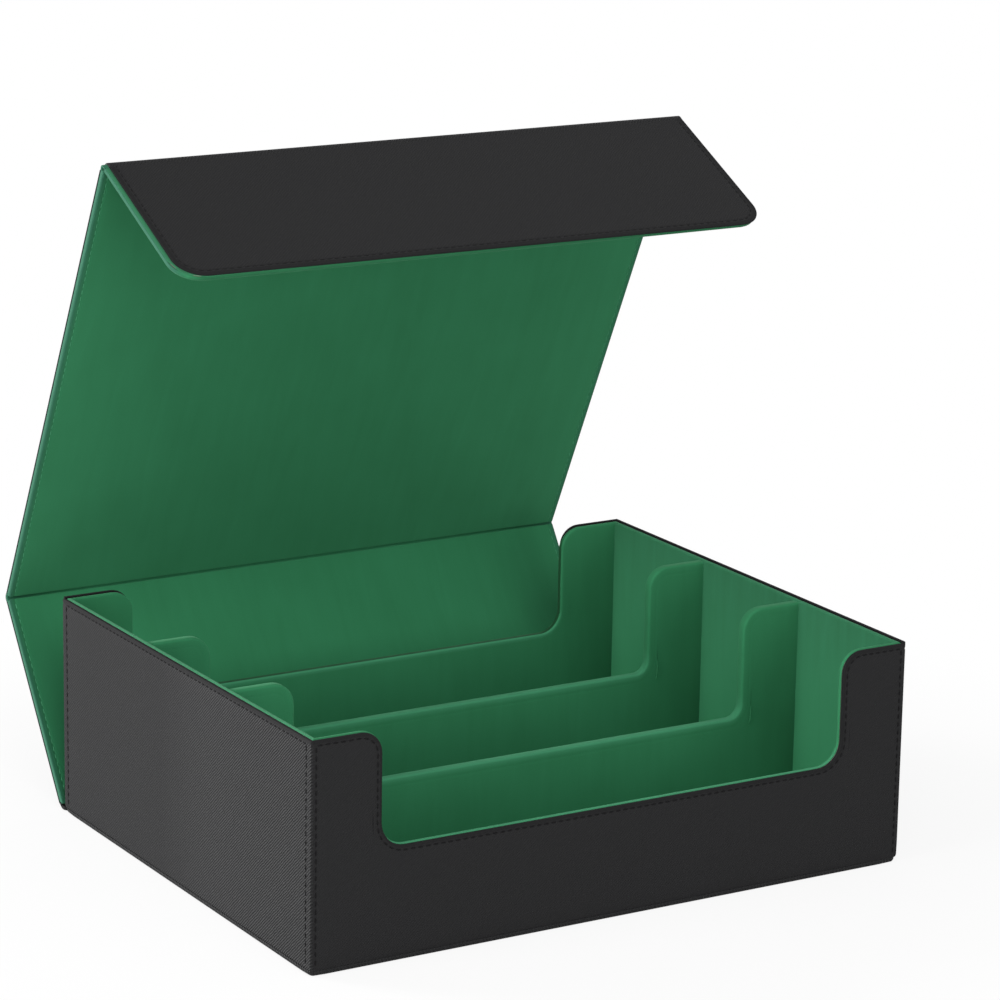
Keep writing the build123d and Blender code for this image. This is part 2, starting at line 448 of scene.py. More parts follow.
def scoop_rim(head, end, marks, bend=scoop_round):
    """The upper edge of a scooped wall, from its left end to its right: points, normals into the
    wall, shares of the post's top run, and where each point's line meets the foot. On each side:
    level along the scoop, a quarter circle up, straight up the post, a quarter circle, level."""
    level = np.linspace(0, scoop_half - bend, 14)[:-1]
    rise = np.linspace(scoop_floor + bend, head - post_round, 8)[1:-1]
    on_post = scoop_half + post_round
    top = np.append(np.linspace(on_post, end - post_plain, 5)[1:], marks)
    past_bend = scoop_half + foot_spread
    wide = on_post + foot_share * (end - on_post)
    sine, cosine = np.sin(arc), np.cos(arc)
    up_x, up_z = scoop_half - bend + bend * sine, scoop_floor + bend - bend * cosine
    over_x, over_z = on_post - post_round * cosine, head - post_round + post_round * sine
    top_foot = np.maximum(top, wide + foot_slope * (top - on_post))
    legs = [
        (level, scoop_floor, 0, -1, level),
        (up_x, up_z, sine, -cosine, np.linspace(scoop_half - bend, past_bend, len(arc))),
        (scoop_half, rise, 1, 0, np.linspace(past_bend, on_post, len(rise) + 2)[1:-1]),
        (over_x, over_z, cosine, -sine, np.linspace(on_post, wide, len(arc))),
        (top, head, 0, -1, top_foot),
    ]
    x, z, in_x, in_z, foot = np.concatenate([np.broadcast_arrays(*leg) for leg in legs], axis=1)
    share = np.clip((x - on_post) / (end - on_post), 0, None) * (z >= head)
    right = np.stack([x, z, in_x, in_z, share, foot])
    left = right[:, :0:-1] * np.array([-1, 1, -1, 1, -1, -1])[:, None]
    return Rim(*np.concatenate([left, right], axis=1))


def rim_rows(rim, depth, inset, wider):
    """Rows of a skin along a rim: each row lies at its depth through the wall, drawn in from the
    rim by its inset, with the ends of its top runs moved out to the mitre."""
    x, z, in_x, in_z, share, _ = (part[:, None] for part in rim)
    across = x + in_x * inset + share * wider
    return np.dstack([across, np.broadcast_to(depth, across.shape), z + in_z * inset])


def skirt(row, rim, foot_height, shares):
    """Rows of a flat face: each point runs straight from its place on the lowest row of the rim to
    its place along the foot."""
    foot = np.column_stack([rim.foot, row[:, 1], np.full(len(row), foot_height)])
    return row[:, None] + (foot - row)[:, None] * shares[:, None]


def end_skin(name, side):
    """A scooped wall's outer skin: over the rim from the seam, down the pressed face to the foot. The
    turned edge lies a little below the lining's in the scoop, and on the posts at its own lift. The
    wide face is ironed smoother than the sides."""
    marks = half_width - np.append((end_sew + press_gaps)[:0:-1], corner_round)
    rim = scoop_rim(wall_height, half_width - corner_round, marks)
    line = sew_in + press_gaps
    inset = [seam_dip[::-1], leather_roll * roll_drop[::-1], line, [rim_band]]
    offset = [(leather_top - seam_run)[::-1], leather_roll * roll_in[::-1], pressed(press_gaps), [0]]
    inset, offset = np.concatenate(inset), np.concatenate(offset)
    on_post = np.clip((rim.z - wall_height + post_round) / post_round, 0, 1)[:, None]
    lift = scoop_lift[name] * (1 - on_post) + post_lift[name] * on_post
    inset_here = inset - lift * (inset < sew_in / 2)
    wider = np.minimum(0, corner_round - offset)
    rows = rim_rows(rim, side * (half_depth - offset), inset_here, wider)
    face = np.concatenate([rows, skirt(rows[:, -1], rim, base_top, end_rows)], axis=1)
    low = np.clip((base_top + end_foot_rise - face[..., 2]) / end_foot_rise, 0, 1)
    upright = (face[..., 2] < wall_height - sew_in) * (low == 0)
    sewn = pressed(half_width - np.abs(face[..., 0]) - end_sew) * upright
    face[..., 1] -= side * (sewn + end_foot_tuck * low**2)
    # Painted shade along the band between the rim and its sewing line
    wear_and_painted_light = np.full(face.shape[:2], ironed)
    wear_and_painted_light[:, :len(inset)] = np.maximum(ironed, past(inset, sew_in))
    face[..., 0] *= (half_width - corner_at(face[..., 2])) / (half_width - corner_round)
    return face, np.dstack([-side * face[..., 0], face[..., 2], wear_and_painted_light])


for name, side in (("front", -1), ("rear", 1)):
    shape = end_skin(name, side)
    cover_wall(name, "end", "leather", black_leather, shape, (0, side, 0))

# Lining of the four walls.
# Green microfibre glued to the inside of each board and turned over its top edge,
# where it meets the leather in a seam. The pile is short and soft.
floor_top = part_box("front_lining")[0].z
lining_roll = 1.0 * mm
seam_gap = 0.05 * mm
lining_top = wall - leather_top - seam_gap
lining_marks = np.array([6, 3, 1, 0]) * mm
lining_rows = np.linspace(0, 1, 8)[1:]
corner_shade = 0.45
corner_shade_reach = 15 * mm
shade_fade_up = 0.7
post_highlight = 0.05
scoop_highlight = 0.3
rim_reach = 2.5 * mm
lip_reach = 1.1 * mm
lip_rise = 0.35 * mm
lip_step = 0.1 * mm
lip_foot = lining_roll + lip_step


def lining_finish(name, low, high, strokes, painted_edge_tone):
    """Microfibre: a fine pile, brushed strokes that are noise drawn out up the cloth, and a slow
    mottling where hands have turned the nap. Sheen lifts it at glancing angles. The attribute read from
    the mesh paints light and shade on it: above 0 it mixes in a dark green, as painted shade; below 0
    it mixes in the cloth's edge tone, painted highlight or painted shade as that tone is paler or
    darker."""
    fixed = {
        "Sheen Weight": 0.22,
        "Sheen Roughness": 0.45,
        "Sheen Tint": linear(150, 215, 175),
        "Specular IOR Level": 0.15,
    }
    material, shader, wire, uv = new_finish(name, fixed, "UV")
    pile = noise(wire, uv, 1500.0, detail=3.0)
    brushed = noise(wire, drawn_out(wire, uv, (150, 17, 1)), 1.0, detail=4.0, distortion=0.6)
    nap = noise(wire, uv, 22.0)
    wear_and_painted_light = wire.node("Attribute", {"attribute_name": "wear_and_painted_light"}, output="Fac")
    share = pile * 0.35 + (brushed - 0.5) * strokes + nap * 0.4 + 0.12
    tone = two_tone(wire, low, high, share)
    # Painted shade: a dark green mixed in where the attribute is above 0
    tone = two_tone(wire, tone, linear(20, 66, 38), wear_and_painted_light)
    feed(shader, {
        # Painted light: the edge tone mixed in where the attribute is below 0
        "Base Color": two_tone(wire, tone, painted_edge_tone, wear_and_painted_light * -1),
        "Roughness": pile * 0.1 + 0.85,
        "Normal": relief(wire, pile, 0.35, 0.08 * mm),
    })
    return material


# The side-wall cloth is a greyer copy of the plain cloth with stronger strokes: painted sheen. Edge
# tones: the padded cloth's paler green is painted highlight, the side-wall cloth's paler green painted
# highlight and sheen, the plain cloth's darker, greyer green painted shade.
plain_cloth = (linear(34, 99, 62), linear(51, 127, 87), 0.3)
painted_sheen_cloth = (linear(37, 94, 62), linear(55, 123, 89), 0.65)
green_microfibre = lining_finish("green_microfibre", *plain_cloth, linear(41, 89, 70))
padded_microfibre_rim_highlight = lining_finish("padded_microfibre_rim_highlight", *plain_cloth, linear(84, 160, 124))
brushed_microfibre_painted_sheen = lining_finish("brushed_microfibre_painted_sheen", *painted_sheen_cloth, linear(66, 154, 107))


def painted_corner_shade(face):
    """Painted shade towards the side walls: it dies away from them by a power of e, and is less
    the higher it lies."""
    from_wall = half_width - wall - np.abs(face[..., 0])
    lower_shade = 1 - shade_fade_up * face[..., 2] / wall_height
    return corner_shade * np.exp(-from_wall / corner_shade_reach) * lower_shade


def side_lining(side):
    """A side wall's inner skin: the profile of an outer skin, turned to face in, along a straight run.
    A paler, greyer tone is painted on, the more the lower: painted light against the shade low in the
    tray."""
    offset, height = over_top(lining_roll, lining_top, floor_top, wall_height)
    offset = np.where(height < wall_height - lining_roll, 0, offset)
    along = np.linspace(-1, 1, 13)[:, None]
    x = half_width - wall + offset + 0 * along
    y = along * (half_depth - wall + offset)
    face = np.dstack([side * x, y, np.broadcast_to(height, x.shape)])
    return face, np.dstack([face[..., 1:], face[..., 2] / wall_height - 1])


def painted_rim_highlight(rim, inset):
    """How strong the painted highlight is at an inset from a rim: most at the rim, less by a straight
    line. It is strong along the scoop's floor and faint on the posts."""
    low = np.clip(1 - (rim.z - scoop_floor) / scoop_round, 0, 1)[:, None]
    return (post_highlight + scoop_highlight * low) * np.clip(1 - inset / rim_reach, 0, 1)


def end_lining(name, side):
    """A scooped wall's inner skin: over the rim from the seam and straight down to the floor. In the
    rear wall's scoop it reaches further over and stands up as a lip, painted dark green as painted
    shade."""
    inner = half_width - wall
    rim = scoop_rim(wall_height, inner, inner - lining_marks)
    inset = [seam_dip[::-1], [0], lining_roll * roll_drop[::-1], [rim_reach, rim_band]]
    offset = [(lining_top - seam_run)[::-1], [lip_foot], lining_roll * roll_in[::-1], [0, 0]]
    inset, offset = np.concatenate(inset), np.concatenate(offset)
    in_scoop = np.clip((wall_height - rim.z) / post_round, 0, 1)[:, None] * (name == "rear")
    lip = (np.arange(len(inset)) < len(seam_run)) * in_scoop
    # The lip's rows and the row at its foot are painted dark: painted shade of the gap at the rim
    flat = (np.arange(len(inset)) <= len(seam_run)) * in_scoop
    depth = half_depth - wall + offset + lip_reach * lip
    rows = rim_rows(rim, side * depth, inset - lip_rise * lip, offset)
    face = np.concatenate([rows, skirt(rows[:, -1], rim, floor_top, lining_rows)], axis=1)
    # Painted shade towards the side walls and on the lip, and a painted highlight along the rim
    wear_and_painted_light = painted_corner_shade(face)
    wear_and_painted_light[:, :len(inset)] += flat - painted_rim_highlight(rim, inset) * (1 - flat)
    return face, np.dstack([face[..., 0], face[..., 2], wear_and_painted_light])


for name, side in (("left", -1), ("right", 1)):
    shape = side_lining(side)
    cover_wall(name, "side", "lining", brushed_microfibre_painted_sheen, shape, (-side, 0, 0))

for name, side in (("front", -1), ("rear", 1)):
    shape = end_lining(name, side)
    cover_wall(name, "end", "lining", padded_microfibre_rim_highlight, shape, (0, -side, 0))

# Floor linings of the three rows.
# A rectangle of the same microfibre laid on the floor board of each row, its edges
# tucked down beside the walls.
floor_round = 1 * mm
floor_tuck = 0.5 * mm
floor_flat = 6 * mm
floor_inset = np.append(floor_tuck * roll_in, floor_flat)
floor_drop = np.append(-floor_tuck * roll_drop, 0)
for row in ("front", "middle", "rear"):
    low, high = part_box(f"{row}_floor_lining")
    rounds = (floor_round, floor_round)
    face = panel_skin(high.x, low.y, high.y, rounds, floor_inset, floor_drop, between=9)
    face = face + (0, 0, high.z)
    piece = add_piece(
        f"{row}_row_floor", closed_sheet(face, face[..., :2], (0, 0, 1)),
        green_microfibre, [f"{row}_floor_lining"], "tray",
    )

# Partitions between the rows.
# Each is a scooped board in a thick sleeve of microfibre that is drawn over its upper edge,
# so the edge is full, and creased below it. The ends are glued to the side walls.
sleeve_skin = 1.1 * mm
sleeve_scoop = 7.0 * mm
sleeve_round = 1.2 * mm
sleeve_crease = 4.2 * mm
sleeve_press = 0.25
sleeve_gaps = np.array([1.6, 0.9, 0.4, 0, -0.4, -0.9]) * mm
for name in ("front", "rear"):
    low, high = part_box(f"{name}_partition_lining")
    rim = scoop_rim(high.z, high.x, high.x - lining_marks, sleeve_scoop)
    inset = np.append(sleeve_crease + sleeve_gaps, sleeve_round * roll_drop)
    drawn = np.append(sleeve_press * pressed(sleeve_gaps), sleeve_round * roll_in)
    inset, drawn = (np.append(half, half[::-1]) for half in (inset, drawn))
    depth = np.where(np.arange(len(inset)) < len(inset) / 2, low.y + drawn, high.y - drawn)
    rows = rim_rows(rim, depth, inset, 0)
    front, back = (skirt(rows[:, edge], rim, low.z, lining_rows) for edge in (0, -1))
    face = np.concatenate([front[:, ::-1], rows, back], axis=1)
    # Painted shade towards the side walls, and a painted highlight along the rim
    wear_and_painted_light = painted_corner_shade(face)
    wear_and_painted_light[:, len(lining_rows):-len(lining_rows)] -= painted_rim_highlight(rim, inset)
    uv = np.dstack([face[..., 0], face[..., 2] + face[..., 1], wear_and_painted_light])
    piece = add_piece(
        f"{name}_partition_sleeve", closed_sheet(face, uv, (0, 0, 1), sleeve_skin),
        padded_microfibre_rim_highlight, [f"{name}_partition_lining"], "tray",
    )

# The cover's three panels: back, lid and flap.
# Each is a board with leather outside and microfibre inside. The microfibre wraps the board's
# edges and meets the leather's cut edge, and one sewing line runs round through both.
joints = {joint["name"]: joint for joint in frame["joints"]}
panel_names = ("back", "lid", "flap")
hinges = {name: np.array(joints[f"{name}_fold"]["pos_m"]) for name in panel_names}
folds = {name: math.radians(joints[f"{name}_fold"]["range_deg"][1]) for name in panel_names}
leans = dict(zip(panel_names, np.cumsum(list(folds.values()))))
panel = 2 * hinges["back"][2]
outside = -panel / 2 + skin
crease_clearance = 0.35 * mm
crease_room = panel / 2 + crease_clearance
panel_round = 0.9 * mm
flap_round = 14.0 * mm
flap_length = 87.5 * mm
panel_ends = {
    "back": np.linalg.norm(hinges["lid"] - hinges["back"]) - crease_room,
    "lid": np.linalg.norm(hinges["flap"] - hinges["lid"]) - crease_room,
    "flap": flap_length,
}
free_rounds = {"back": panel_round, "lid": panel_round, "flap": flap_round}
edge_rolls = {"back": 0.6 * mm, "lid": 0.9 * mm, "flap": 1.4 * mm}
edge_start = np.array([0.4, 0.1, 0]) * mm
edge_rise = np.array([0, 0, 0.15]) * mm
past_roll = 0.2 * mm
past_hem = np.array([6.5, 8, 9.5, 11, 12.5, 14]) * mm
hem = 2.9 * mm
hem_outside = 3.2 * mm
crease_swell = 0.65 * mm
crease_steep = 0.5 * mm
crease_reach = 5 * mm
right_trim = 0.7 * mm
edge_paint_reach = 3.0 * mm
flap_end_reach = 8 * mm
flap_end_shade = 0.45
leather_proud = 0.25 * mm
leather_edge = 0.45 * mm
leather_lap = 0.1 * mm
flap_cut = (2.3 * mm, 0.7 * mm)
flap_end_cut = 0.6 * mm
flap_askew = np.array([0.3, 1.6, 0]) * mm
leather_halves = {"back": half_width + leather_proud, "lid": half_width + leather_proud}
leather_halves["flap"] = half_width - sum(flap_cut) / 2
leather_ends = {**panel_ends, "flap": flap_length - flap_end_cut}


def inward(name):
    """The direction in which a panel's lining faces."""
    return np.array([0, -math.sin(leans[name]), math.cos(leans[name])])


def on_panel(name, local):
    """Points of a panel, given as (across, along, up) from its hinge, where the panel stands."""
    along = np.array([0, math.cos(leans[name]), math.sin(leans[name])])
    flat = hinges[name] + local[..., :1] * (1, 0, 0) + local[..., 1:2] * along
    return flat + local[..., 2:] * inward(name)


def into_creases(along, near, far, free, roll_round):
    """Places along a panel, drawn out at its hinged ends so that the soft edge swells into the crease
    and its round gets steeper: straight lines between a few known places."""
    first, last = near - crease_swell, far + crease_swell
    flat = [near, near + roll_round, near + crease_reach]
    flat += [far - crease_reach, far - roll_round, far]
    swollen = [first, first + crease_steep, near + crease_reach]
    swollen += [far - crease_reach, last - crease_steep, last]
    if free:
        swollen[3:] = flat[3:]
    return np.interp(along, flat, swollen)


def edge_profile(roll_round, start, sew, top):
    """A panel skin's edge as (inset, height): from its end a little way in, out to the edge, straight
    up, over a quarter circle, and in past the sewing line."""
    flat = np.concatenate([[roll_round + past_roll], sew + press_gaps, past_hem])
    inset = np.concatenate([edge_start, roll_round * roll_in, flat])
    height = [start + edge_rise, top - roll_round * roll_drop, np.full(len(flat), top)]
    return inset, np.concatenate(height)


def from_free_edge(name, local, half, end):
    """The distance from a panel's sewn edges: its two sides, and the flap's rounded far end."""
    side = half - np.abs(local[..., 0])
    if name != "flap":
        return side
    over_side = np.maximum(flap_round - side, 0)
    over_end = np.maximum(flap_round - (end - local[..., 1]), 0)
    return flap_round - np.hypot(over_side, over_end)


def trimmed(local):
    """A lining's points, drawn in from the right by an even share of the trim there."""
    share = np.clip(local[..., :1] / half_width, 0, 1)
    return local - right_trim * share * np.array([1, 0, 0])


def painted_edge_shade(name, local):
    """A panel lining's painted shade: greyer and darker over the sides, dark on the flap's free end."""
    edge = from_free_edge(name, local, half_width, panel_ends[name])
    close = np.clip(1 - edge / edge_paint_reach, 0, 1)
    if name != "flap":
        return -close
    side = np.clip((flap_length - local[..., 1]) / flap_end_reach, 0, 1)
    return close * (flap_end_shade * (1 - side) - side)


def laid(name, local):
    """Where the points of a panel's leather come to lie. The flap's is set over to the right and lies
    askew: its overlap grows with the distance to the right and from the crease."""
    if name != "flap":
        return local
    to_right = 0.5 + local[..., :1] / (2 * half_width)
    askew = flap_askew * to_right * local[..., 1:2] / flap_length
    return local + askew + np.array([(flap_cut[0] - flap_cut[1]) / 2, 0, 0])


panel_skins = {}
for name in panel_names:
    end, rounds = panel_ends[name], (panel_round, free_rounds[name])
    inset, height = edge_profile(edge_rolls[name], outside, hem, panel / 2)
    local = panel_skin(half_width, crease_room, end, rounds, inset, height, between=12)
    local[..., 1] = into_creases(local[..., 1], crease_room, end, name == "flap", edge_rolls[name])
    local[..., 2] -= pressed(from_free_edge(name, local, half_width, end) - hem)
    uv = np.dstack([local[..., :2], painted_edge_shade(name, local)])
    cloth = add_piece(
        f"{name}_panel_lining", closed_sheet(on_panel(name, trimmed(local)), uv, inward(name)),
        green_microfibre, [f"{name}_lining"], name,
    )
    half, end = leather_halves[name], leather_ends[name]
    inset, height = edge_profile(leather_edge, -outside - leather_lap, hem_outside, panel / 2)
    local = panel_skin(half, crease_room, end, rounds, inset, -height, between=12)
    edge = from_free_edge(name, local, half, end)
    local[..., 2] += pressed(edge - hem_outside)
    # Painted shade along the band outside the sewing line
    wear_and_painted_light = np.maximum(ironed, past(edge, hem_outside))
    uv = np.dstack([-local[..., 0], local[..., 1], wear_and_painted_light])
    hide = add_piece(
        f"{name}_panel_leather", closed_sheet(on_panel(name, laid(name, local)), uv, -inward(name)),
        black_leather, [f"{name}_leather"], name,
    )
    panel_skins[name] = (hide, cloth)

# Turn-in of the flap's lining.
# The microfibre that is turned round the flap's edge and glued flat to the board's outside.
# It shows as a green border where the leather over it is cut back.
turn_in_level = outside - 0.06 * mm
turn_in_highlight = 0.45
turn_in_fade = 3.0 * mm
inset = np.array([0.3, 1.2, 2.4, 4, 14]) * mm
height = np.full(len(inset), turn_in_level)
rounds = (panel_round, flap_round)
local = panel_skin(half_width, crease_room, flap_length, rounds, inset, height, between=12)
edge = from_free_edge("flap", local, half_width, flap_length)
# Painted highlight and sheen: a paler, greyer green at the turned edge, turning darker further in under
# the leather
uv = np.dstack([local[..., :2], np.minimum(edge / turn_in_fade, 1) - turn_in_highlight])
face = on_panel("flap", trimmed(local))
flap_turn_in = add_piece(
    "flap_turn_in", closed_sheet(face, uv, -inward("flap"), skin / 2),
    brushed_microfibre_painted_sheen, (), "flap",
)

# Creases between base, back, lid and flap.
# Where the boards stop short, leather and microfibre run on alone as a strip that folds.
# Outside it is one round bend, inside a groove between the panels' soft edges.
crease_nodes = {"back": "base_crease", "lid": "lid_crease", "flap": "flap_crease"}
crease_groove = 0.2 * mm
crease_roll = 0.6 * mm
base_lap = 0.2 * mm
fold_start = {"back": 0.0, "lid": -crease_room, "flap": -crease_room}
strip_end = crease_room + leather_edge
strip_start = {"lid": -strip_end, "flap": -strip_end}
strip_start["back"] = half_depth - hinges["back"][1] - base_roll - base_lap

# How far the strips go past the panels' left and right sides, each from its start to its end
leather_reaches = {
    "back": ((-3.75, 0.25), (-3.75, 0.25)),
    "lid": ((0.25, 0.25), (0.25, 0.25)),
    "flap": ((-1.6, -2.3), (-0.9, -0.7)),
}
lining_reaches = {
    "back": ((-8, -4), (-8, -4)),
    "lid": ((0.25, 0.25), (0.25, 0.25)),
    "flap": ((0.2, 0.2), (-1.0, -1.0)),
}
turn_in_reaches = ((0.1, 0.1), (-1.1, -1.1))
turn_in_end = -0.3 * mm


def bent(name, q, off):
    """Points of a strip round a hinge. A point at the distance q along the strip and off its middle
    turns about the hinge by its share of the fold: the smooth step of q across the crease."""
    step = np.clip((q - fold_start[name]) / (crease_room - fold_start[name]), 0, 1)
    angle = leans[name] - folds[name] * (1 - step * step * (3 - 2 * step))
    y = hinges[name][1] + q * np.cos(angle) - off * np.sin(angle)
    z = hinges[name][2] + q * np.sin(angle) + off * np.cos(angle)
    return y, z


def crease_strip(name, start, reaches, end_round, level, end_level):
    """A strip along a crease, at a level off its middle: each end goes over a quarter circle and on to
    the end's own level. Its reaches are in millimetres, with a straight cut between them."""
    sign = np.sign(level - end_level)
    q = np.linspace(start, strip_end, 17)
    share = (q - start) / (strip_end - start)
    left, right = (half_width + mm * (first + (last - first) * share) for first, last in reaches)
    inset = np.append(0, end_round * roll_in)[:, None]
    off = np.append(end_level, level - sign * end_round * roll_drop)
    between = np.linspace(0, 1, 17)[1:-1, None]
    middle = -left + end_round + (left + right - 2 * end_round) * between
    x = np.concatenate([-left + inset, middle, (right - inset)[::-1]])
    off = np.concatenate([off, np.full(len(middle), level), off[::-1]])[:, None]
    q = np.broadcast_to(q, x.shape)
    # Painted shade near the strip's ends on the linings, in the plain cloth's darker, greyer edge tone
    painted_edge_tone = np.clip(1 - np.minimum(x + left, right - x) / edge_paint_reach, 0, 1)
    return np.dstack([x, *bent(name, q, off)]), np.dstack([x, q, -painted_edge_tone])


face, uv = crease_strip(
    "flap", strip_start["flap"], turn_in_reaches, crease_roll, turn_in_level, turn_in_end
)
crease_turn_in = add_piece(
    "flap_crease_turn_in", closed_sheet(face, uv, -inward("flap"), skin / 2),
    green_microfibre,
)
turn_ins = {"back": [], "lid": [], "flap": [flap_turn_in, crease_turn_in]}
for name in panel_names:
    start, reaches = strip_start[name], leather_reaches[name]
    end_level = crease_groove if name == "back" else outside
    face, uv = crease_strip(name, start, reaches, leather_edge, -panel / 2, end_level)
    outer = add_piece(
        f"{name}_crease_leather", closed_sheet(face, uv * (-1, 1, 0), -inward(name)),
        black_leather, [crease_nodes[name]],
    )
    start, reaches = -crease_room, lining_reaches[name]
    face, uv = crease_strip(name, start, reaches, crease_roll, crease_groove, outside)
    inner = add_piece(
        f"{name}_crease_lining", closed_sheet(face, uv, inward(name), skin / 2),
        green_microfibre, [crease_nodes[name]],
    )
    hide, cloth = panel_skins[name]
    span = [(0, *bent(name, np.array(q), 0.0)) for q in (fold_start[name], crease_room)]
    for piece, strip, more in ((hide, outer, []), (cloth, inner, turn_ins[name])):
        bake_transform(strip)
        panel_ends[name] - crease_room
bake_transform(crease_turn_in)

# Sewing thread.
# Lock stitches of black thread outside and green thread inside, each a short plump
# length that dips into its needle hole at both ends.
stitch_pitch = 3.85 * mm
stitch_length = 2.9 * mm
stitch_aim = 0.4 * mm
tray_thread = 0.36 * mm
cover_thread = 0.25 * mm
sunk = 0.8 * sew_press
seam_foot = base_top + 2 * mm
seam_head = wall_height - sew_in
hem_stop = 1.5 * mm


def thread_finish(name, low, high):
    """Spun thread: a fine noise gives the twist."""
    fixed = {"Roughness": 0.8, "Specular IOR Level": 0.15}
    material, shader, wire, spot = new_finish(name, fixed)
    twist = noise(wire, spot, 3200.0)
    tone = two_tone(wire, low, high, twist)
    feed(shader, {"Base Color": tone, "Normal": relief(wire, twist, 0.4, 0.05 * mm)})
    return material


def stitches(path, out, thick):
    """Stitches along a path: centres at even lengths, each with six rings of six points. Ring by ring
    the round swells and shrinks and its middle rises over the skin and dives at both ends."""
    gone = np.append(0, np.cumsum(np.linalg.norm(np.diff(path, axis=0), axis=1)))
    count = int(gone[-1] / stitch_pitch)
    centre = (np.arange(count) + 0.5) * gone[-1] / count

    def at(length):
        """The points that lie at given lengths along the path."""
        return np.column_stack([np.interp(length, gone, axis) for axis in path.T])

    ahead = at(centre + stitch_aim) - at(centre - stitch_aim)
    ahead /= np.linalg.norm(ahead, axis=1, keepdims=True)
    aside = np.cross(out, ahead)
    station = np.array([-1, -0.75, -0.3, 0.3, 0.75, 1])[:, None]
    swell = thick * np.array([0.35, 0.85, 1, 1, 0.85, 0.35])[:, None]
    lift = thick * np.array([-1.2, -0.1, 0.35, 0.35, -0.1, -1.2])[:, None]
    angle = np.arange(6) * math.tau / 6
    length = station * stitch_length / 2 + 0 * angle
    shape = at(centre)[:, None, None] + length[..., None] * ahead[:, None, None]
    shape = shape + (swell * np.cos(angle))[..., None] * aside[:, None, None]
    return shape + (lift + swell * np.sin(angle))[..., None] * out


def sew(name, seams, thick, finish, slot, body):
    """One piece of all the stitches on a body: closed tubes with a six-sided end each."""
    shape = np.concatenate([stitches(path, np.array(out, float), thick) for path, out in seams])
    index = np.arange(shape[..., 0].size).reshape(shape.shape[:3])
    around = np.roll(index, -1, axis=2)
    sides = np.stack([index[:, :-1], around[:, :-1], around[:, 1:], index[:, 1:]], axis=-1)
    faces = [*sides.reshape(-1, 4).tolist(), *index[:, 0, ::-1].tolist(), *index[:, -1].tolist()]
    points = shape.reshape(-1, 3)
    return add_piece(name, (points, faces, points[:, :2]), finish, (), body)


def corner_seam(x, y):
    """The straight sewing line up a wall beside a corner."""
    return np.array([(x, y, seam_foot), (x, y, seam_head)])


def hem_paths(name, half, far, inset, up):
    """The sewing lines of a panel's skin, at an inset from its edge, as (across, along, up): one up
    each side, or on the flap one up the left side, round the free end and down the right side."""
    x, near = half - inset, crease_room + hem_stop
    if name != "flap":
        return [np.array([(s * x, near, up), (s * x, far - hem_stop, up)]) for s in (-1, 1)]
    radius = flap_round - inset
    corner_x = x - radius + radius * np.cos(arc)
    corner_y = far - flap_round + radius * np.sin(arc)
    right = np.column_stack([np.append(x, corner_x), np.append(near, corner_y)])
    right = np.column_stack([right, np.full(len(right), up)])
    return [np.concatenate([right * (-1, 1, 1), right[::-1]])]


black_thread = thread_finish("black_thread", linear(6, 6, 7), linear(16, 15, 17))
faded_thread = thread_finish("faded_thread", linear(17, 17, 18), linear(24, 24, 25))
green_thread = thread_finish("green_thread", linear(50, 118, 82), linear(74, 146, 108))
tray_seams = []
for side in (-1, 1):
    x, y = side * (half_width - sunk), half_depth - side_sew
    tray_seams.append((np.array([(x, -y, seam_head), (x, y, seam_head)]), (side, 0, 0)))
    tray_seams += [(corner_seam(x, end * y), (side, 0, 0)) for end in (-1, 1)]
    x, y = half_width - end_sew, side * (half_depth - sunk)
    rim = scoop_rim(wall_height, x, [x])
    tray_seams.append((rim_rows(rim, y, np.array([sew_in]), 0)[:, 0], (0, side, 0)))
    tray_seams += [(corner_seam(end * x, y), (0, side, 0)) for end in (-1, 1)]
sew("tray_stitching", tray_seams, tray_thread, black_thread, "leather", "tray")

for name in panel_names:
    way_in = inward(name)
    paths = hem_paths(name, half_width, panel_ends[name], hem, panel / 2 - sunk)
    seams = [(on_panel(name, trimmed(path)), way_in) for path in paths]
    sew(f"{name}_inner_stitching", seams, cover_thread, green_thread, "lining", name)
    paths = hem_paths(name, leather_halves[name], leather_ends[name], hem_outside, sunk - panel / 2)
    seams = [(on_panel(name, laid(name, path)), -way_in) for path in paths]
    sew(f"{name}_outer_stitching", seams, cover_thread, faded_thread, "leather", name)

# Card dividers, which stand at the left end of the rows.
# Die-cut from thin coloured polypropylene with a matt face, notched at two upper corners
# and one lower one, with the cut edges eased.
divider_colours = {
    "light_green": (98, 184, 120),
    "red": (200, 78, 81),
    "blue": (74, 126, 221),
    "white": (238, 238, 239),
    "black": (52, 52, 52),
    "dark_green": (64, 135, 62),
    "pink": (206, 132, 191),
    "purple": (130, 80, 188),
    "orange": (209, 121, 38),
    "yellow": (202, 202, 72),
}
upper_front_notch = (10.5 * mm, 10.5 * mm)
upper_rear_notch = (8.5 * mm, 8 * mm)
lower_front_notch = (9 * mm, 7 * mm)
divider_corner = 3.5 * mm
divider_nook = 1.2 * mm
divider_point = 0.4 * mm
divider_ease = 0.2 * mm
deep_tone = 0.93


def divider_finish(colour, screen):
    """Matt plastic: a frosted face from fine noise, with a slow unevenness in the colour."""
    fixed = {"Specular IOR Level": 0.4}
    material, shader, wire, spot = new_finish(f"matt_plastic_{colour}", fixed)
    frost = noise(wire, spot, 2600.0)
    cloud = noise(wire, spot, 30.0)
    deep = linear(*(deep_tone * np.array(screen)))
    feed(shader, {
        "Base Color": two_tone(wire, deep, linear(*screen), cloud * 0.6 + frost * 0.4),
        "Roughness": frost * 0.15 + 0.48,
        "Normal": relief(wire, frost, 0.25, 0.03 * mm),
    })
    return material


